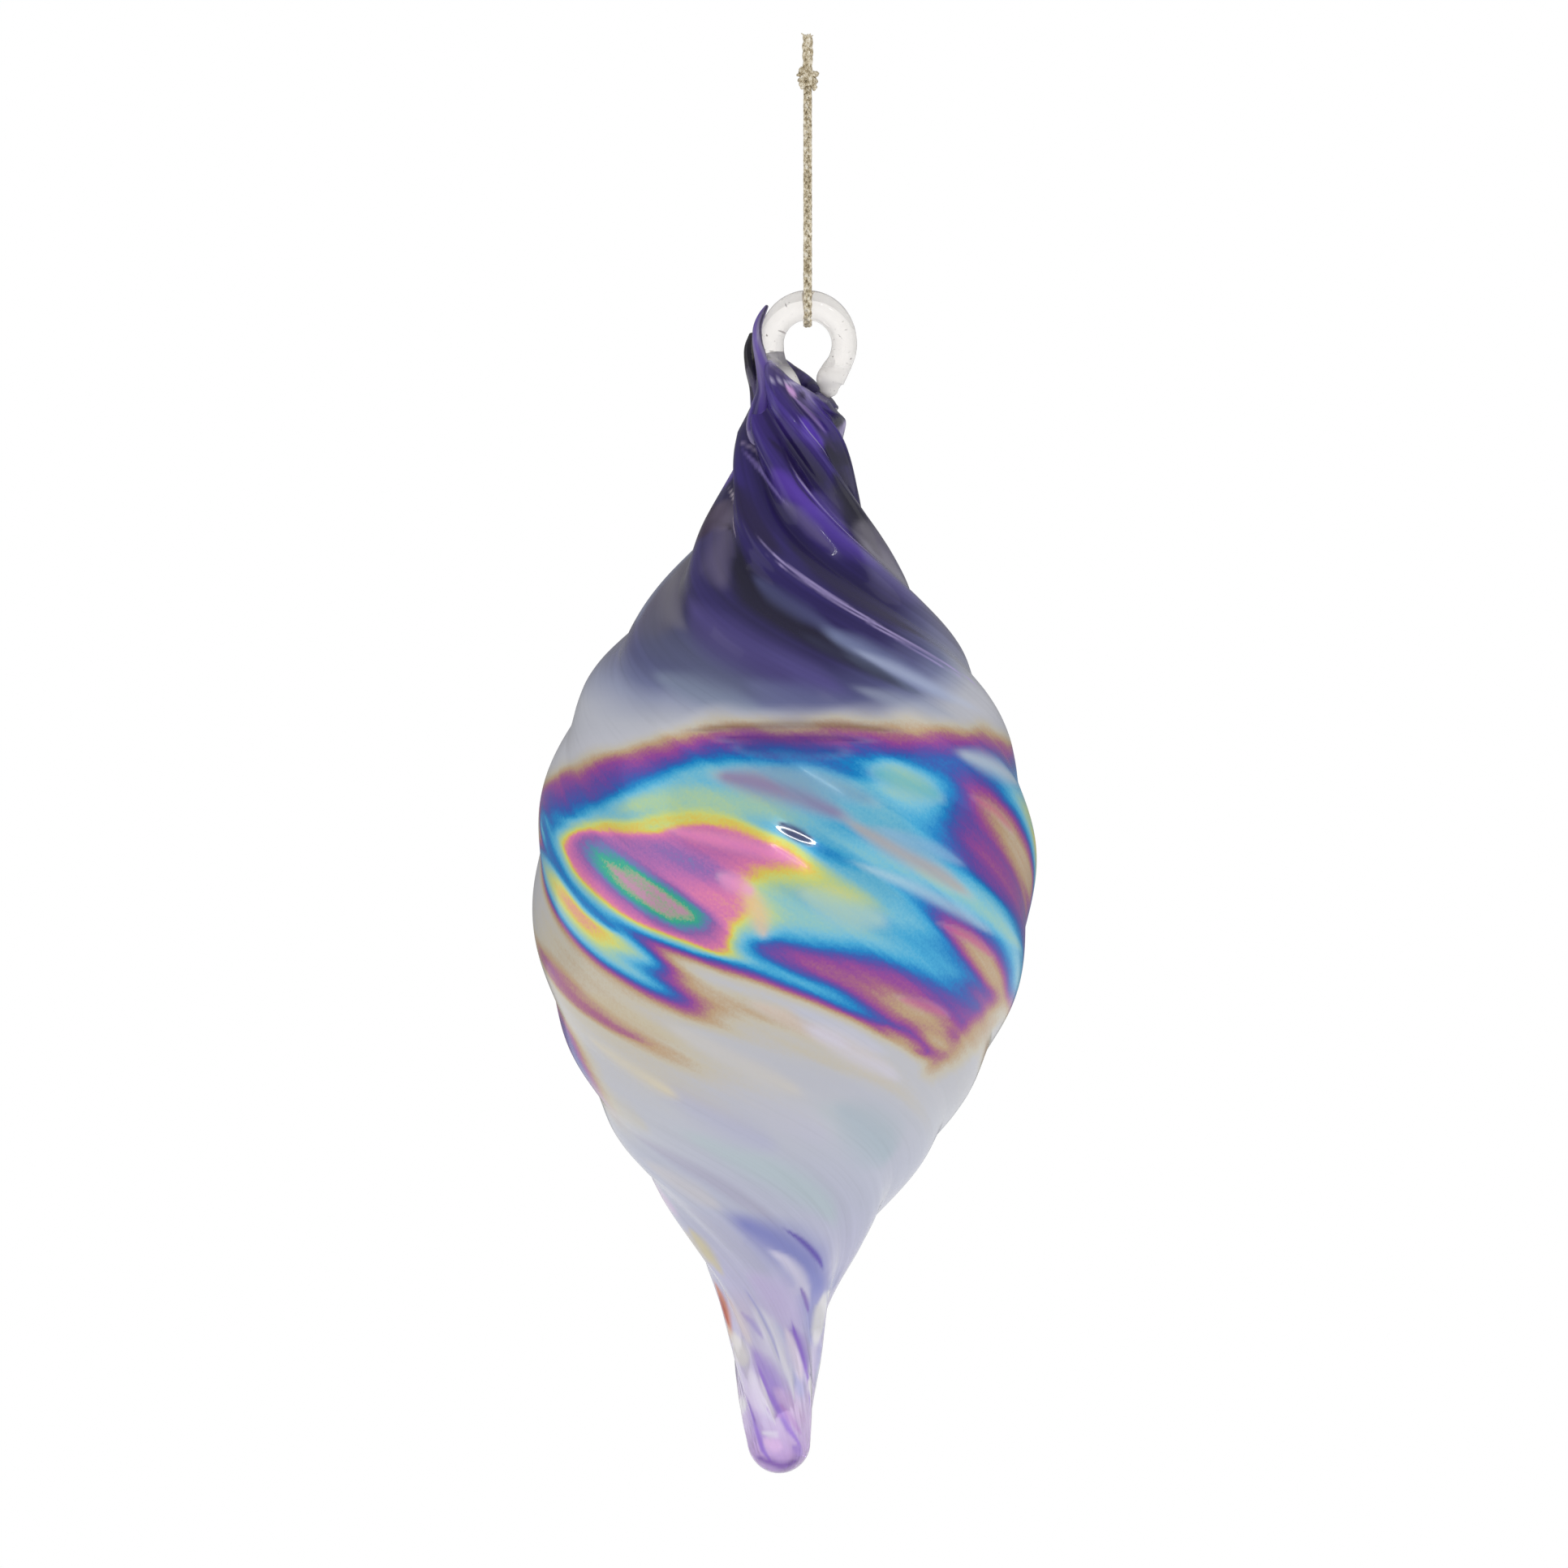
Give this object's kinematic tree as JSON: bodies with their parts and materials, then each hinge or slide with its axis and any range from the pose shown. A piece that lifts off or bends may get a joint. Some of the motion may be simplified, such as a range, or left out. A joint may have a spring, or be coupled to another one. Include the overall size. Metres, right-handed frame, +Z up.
{
  "type": "icicle hanging ornament",
  "caption": "Hollow blown glass drop with twisted ribs and a drawn-out icicle tail, an applied clear glass loop at its neck, hung on a knotted loop of metallic cord.",
  "frame": {"origin": "the hanging eye: the inside top of the cord loop, just under its knot, where a hook or twig bears", "axes": "+Z up along the hanging line, +X across the glass loop to the viewer's right, +Y through the glass loop to the back; the front faces -Y"},
  "size_m": [0.0638, 0.0637, 0.1827],
  "materials": {
    "violet_lustre_glass": "glossy violet glass, iridised with a pearly rainbow lustre on the bulb, clear lilac towards the tip",
    "clear_glass": "clear, fire-polished, with fine seeds",
    "metallic_cord": "knitted champagne metallic yarn"
  },
  "bodies": {
    "cord_top": {"cord_knot": "metallic_cord", "cord_upper": "metallic_cord"},
    "cord_bight": {"cord_lower": "metallic_cord"},
    "ornament": {"glass_bulb": "violet_lustre_glass", "glass_loop": "clear_glass"}
  },
  "joints": [
    {"name": "cord_twist", "type": "hinge", "parent": "cord_top", "child": "cord_bight", "pos_m": [0, 0, 0], "axis": [0, 0, 1], "range_deg": [-180, 180], "stiffness_Nm_per_rad": 0.00005},
    {"name": "ring_swing", "type": "hinge", "parent": "cord_bight", "child": "ornament", "pos_m": [0, 0, -0.03215], "axis": [0, 1, 0], "range_deg": [-45, 45]}
  ]
}
